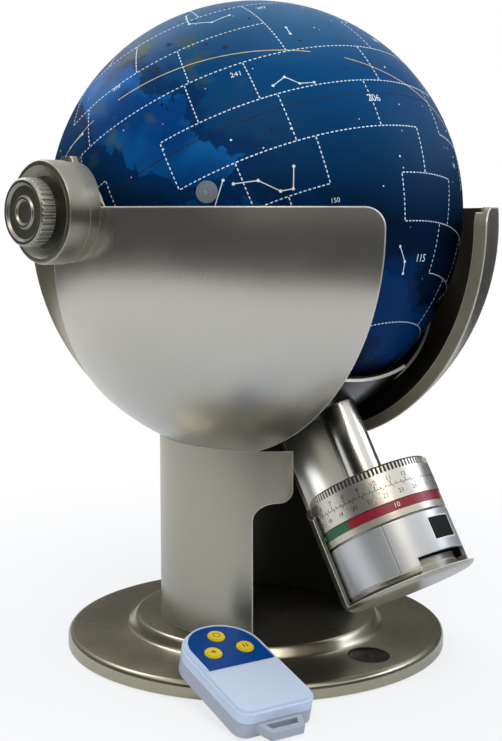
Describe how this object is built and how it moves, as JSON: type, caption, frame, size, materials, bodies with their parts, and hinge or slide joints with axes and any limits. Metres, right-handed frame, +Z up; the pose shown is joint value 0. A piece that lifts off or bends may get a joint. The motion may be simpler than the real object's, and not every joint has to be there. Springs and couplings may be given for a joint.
{
  "type": "planetarium projector",
  "caption": "Home star projector: a pierced star globe on a tilting yoke in a split bowl, with a half-pipe column, a round base, a date dial and a small remote control.",
  "frame": {"origin": "on the table, under the middle of the base", "axes": "+Z up; +X along the tilt axis to the viewer's right; the stem and dial lean towards -Y"},
  "size_m": [0.2754, 0.2361, 0.3181],
  "materials": {
    "silver_paint": "satin silver paint on moulded shells",
    "rear_paint": "satin grey silver paint",
    "base_paint": "satin grey silver paint",
    "black_lining": "moulded, glossy black",
    "dark_plastic": "moulded, fine texture",
    "rubber": "soft matte",
    "cell_wrap": "shrink wrap",
    "spring_metal": "plated strip",
    "circuit_board": "solder mask",
    "window_black": "polished dark window",
    "steel": "turned and plated",
    "stem_metal": "polished",
    "washer_white": "moulded acetal",
    "lamp_glass": "clear bulb",
    "housing_paint": "satin silver paint",
    "band_red": "printed",
    "strip_cream": "printed",
    "motor_metal": "drawn can",
    "gear_white": "moulded acetal",
    "brass": "machined",
    "globe_print": "printed star map under a clear coat",
    "plug_clear": "clear moulded lens",
    "ring_silver": "satin silver paint, knurled",
    "scale_print": "printed scale",
    "remote_shell": "moulded pale lavender",
    "remote_blue": "printed label",
    "pad_rubber": "silicone",
    "button_yellow": "moulded"
  },
  "bodies": {
    "stand": {"base_cover": "base_paint", "base_plate": "dark_plastic", "rubber_feet": "rubber", "battery_door": "dark_plastic", "dry_cells": "cell_wrap", "cell_contacts": "spring_metal", "control_board": "circuit_board", "receiver_window": "window_black", "plate_screws": "steel", "column_shell": "silver_paint", "column_lining": "black_lining", "left_arm": "silver_paint", "right_arm": "silver_paint", "rear_shell": "rear_paint", "bowl_lining": "black_lining", "left_pivot_cup": "silver_paint", "right_pivot_cup": "silver_paint", "friction_washers": "washer_white", "shell_screws": "steel"},
    "yoke": {"yoke_band": "silver_paint", "left_trunnion_pin": "steel", "right_trunnion_pin": "steel", "cradle": "silver_paint", "stem_tube": "stem_metal", "stem_bush": "gear_white", "lamp_post": "steel", "lamp": "lamp_glass", "motor_housing": "housing_paint", "housing_cap": "housing_paint", "sensor_window": "window_black", "season_band": "band_red", "index_strip": "strip_cream", "drive_motor": "motor_metal"},
    "pinion": {"motor_pinion": "brass"},
    "globe": {"drive_gear": "gear_white", "drive_shaft": "steel", "globe_hub": "dark_plastic", "globe_south": "globe_print", "globe_north": "globe_print", "lens_plug": "plug_clear"},
    "dial": {"date_ring": "ring_silver", "date_scale": "scale_print"},
    "left_knob_body": {"left_knob": "silver_paint"},
    "right_knob_body": {"right_knob": "silver_paint"},
    "remote": {"remote_top": "remote_shell", "remote_bottom": "remote_shell", "remote_panel": "remote_blue", "remote_board": "circuit_board", "coin_cell": "steel", "key_pad": "pad_rubber"},
    "star_key_body": {"star_key": "button_yellow"},
    "spin_key_body": {"spin_key": "button_yellow"},
    "stop_key_body": {"stop_key": "button_yellow"}
  },
  "joints": [
    {"name": "latitude_tilt", "type": "hinge", "parent": "stand", "child": "yoke", "pos_m": [0, 0, 0.2165], "axis": [1, 0, 0], "range_deg": [-59, 31]},
    {"name": "globe_spin", "type": "hinge", "parent": "yoke", "child": "globe", "pos_m": [0, 0, 0.2165], "axis": [0, 0.515, 0.8572], "continuous": true},
    {"name": "pinion_spin", "type": "hinge", "parent": "yoke", "child": "pinion", "pos_m": [0, 0.01393, 0.20813], "axis": [0, 0.515, 0.8572], "continuous": true},
    {"name": "dial_turn", "type": "hinge", "parent": "yoke", "child": "dial", "pos_m": [0, 0, 0.2165], "axis": [0, 0.515, 0.8572], "continuous": true},
    {"name": "left_knob_turn", "type": "hinge", "parent": "yoke", "child": "left_knob_body", "pos_m": [0, 0, 0.2165], "axis": [-1, 0, 0], "range_deg": [-90, 90]},
    {"name": "right_knob_turn", "type": "hinge", "parent": "yoke", "child": "right_knob_body", "pos_m": [0, 0, 0.2165], "axis": [1, 0, 0], "range_deg": [-90, 90]},
    {"name": "remote_lift", "type": "slide", "parent": "stand", "child": "remote", "axis": [-0.4501, -0.5361, 0.7141], "range_m": [0, 0.1]},
    {"name": "star_key_press", "type": "slide", "parent": "remote", "child": "star_key_body", "axis": [0.0497, 0.2557, -0.9655], "range_m": [0, 0.0008], "stiffness_N_per_m": 400},
    {"name": "spin_key_press", "type": "slide", "parent": "remote", "child": "spin_key_body", "axis": [0.0497, 0.2557, -0.9655], "range_m": [0, 0.0008], "stiffness_N_per_m": 400},
    {"name": "stop_key_press", "type": "slide", "parent": "remote", "child": "stop_key_body", "axis": [0.0497, 0.2557, -0.9655], "range_m": [0, 0.0008], "stiffness_N_per_m": 400}
  ],
  "couplings": [
    {"joint": "pinion_spin", "follows": "globe_spin", "ratio": -3}
  ]
}
